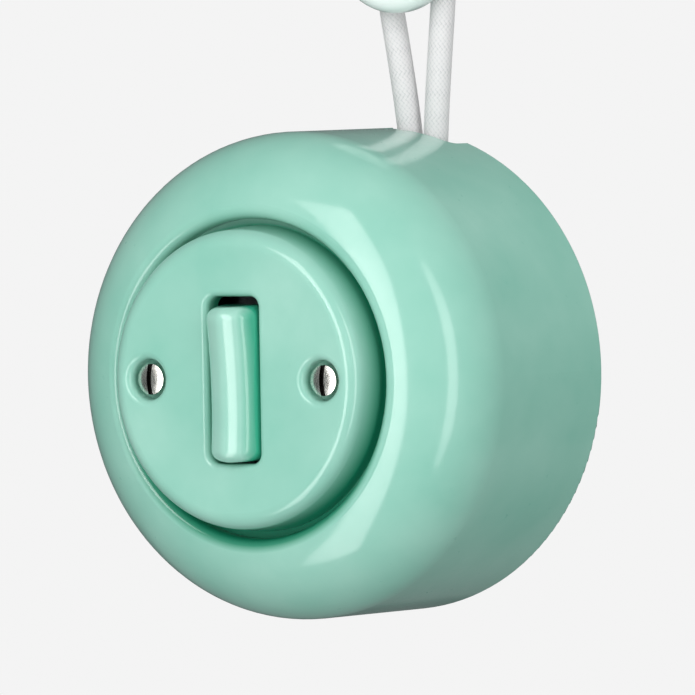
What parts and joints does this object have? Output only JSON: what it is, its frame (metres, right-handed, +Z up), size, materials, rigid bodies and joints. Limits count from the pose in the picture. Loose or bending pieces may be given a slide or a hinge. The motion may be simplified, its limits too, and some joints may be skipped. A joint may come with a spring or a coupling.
{
  "type": "porcelain light switch",
  "caption": "Round surface-mounted porcelain rocker switch: deep glazed housing, raised front disc held by slotted screws, inner changeover mechanism, braided cord looped over a cord insulator.",
  "frame": {"origin": "centre of the switch's round back, on the wall plane", "axes": "+Y into the wall, so the switch's front faces -Y; +Z up and +X to the right as the switch hangs"},
  "size_m": [0.1, 0.0653, 0.1546],
  "materials": {
    "mint_glaze": "glossy glaze, pooled darker in the corners",
    "pale_mint_glaze": "glossy pale glaze",
    "bare_porcelain": "fired, unglazed, matt",
    "polished_nickel": "polished, with brushed slots",
    "zinc_plated_steel": "satin plating",
    "brass": "satin",
    "silver": "satin",
    "moulded_resin": "dark moulded resin",
    "insulating_board": "pressed brown board",
    "white_braid": "braided cotton",
    "white_sleeve": "soft sleeve",
    "lead_insulation": "soft insulation",
    "copper": "bare copper"
  },
  "bodies": {
    "root": {"porcelain_housing": "mint_glaze", "front_disc": "mint_glaze", "disc_screws": "polished_nickel", "rocker_pin": "zinc_plated_steel", "support_ring": "zinc_plated_steel", "mechanism_screws": "zinc_plated_steel", "mechanism_body": "moulded_resin", "mechanism_cover": "insulating_board", "cover_screws": "zinc_plated_steel", "common_terminal": "brass", "upper_terminal": "brass", "lower_terminal": "brass", "fixed_tips": "silver", "bridge_pin": "zinc_plated_steel", "terminal_screws": "brass", "pillars": "brass", "ring_screws": "zinc_plated_steel", "pillar_screws": "zinc_plated_steel", "base_plate": "bare_porcelain", "cord": "white_braid", "cord_sleeves": "white_sleeve", "left_lead": "lead_insulation", "right_lead": "lead_insulation", "wire_ends": "copper", "insulator": "pale_mint_glaze"},
    "rocker": {"rocker_button": "mint_glaze", "rocker_carrier": "moulded_resin", "plunger_spring": "zinc_plated_steel"},
    "sprung_plunger": {"plunger": "brass"},
    "bridge": {"contact_bridge": "brass", "bridge_tips": "silver"}
  },
  "joints": [
    {"name": "rocker_hinge", "type": "hinge", "parent": "root", "child": "rocker", "pos_m": [0, -0.0528, 0], "axis": [1, 0, 0], "range_deg": [-7.2, 0]},
    {"name": "plunger_slide", "type": "slide", "parent": "rocker", "child": "sprung_plunger", "axis": [0, -0.998, -0.0628], "range_m": [0, 0.0008], "stiffness_N_per_m": 600, "springref_m": -0.0015, "deforming": ["plunger_spring"]},
    {"name": "bridge_hinge", "type": "hinge", "parent": "root", "child": "bridge", "pos_m": [0, -0.0335, 0], "axis": [1, 0, 0], "range_deg": [0, 14.4]}
  ],
  "couplings": [
    {"joint": "bridge_hinge", "follows": "rocker_hinge", "ratio": -2}
  ]
}
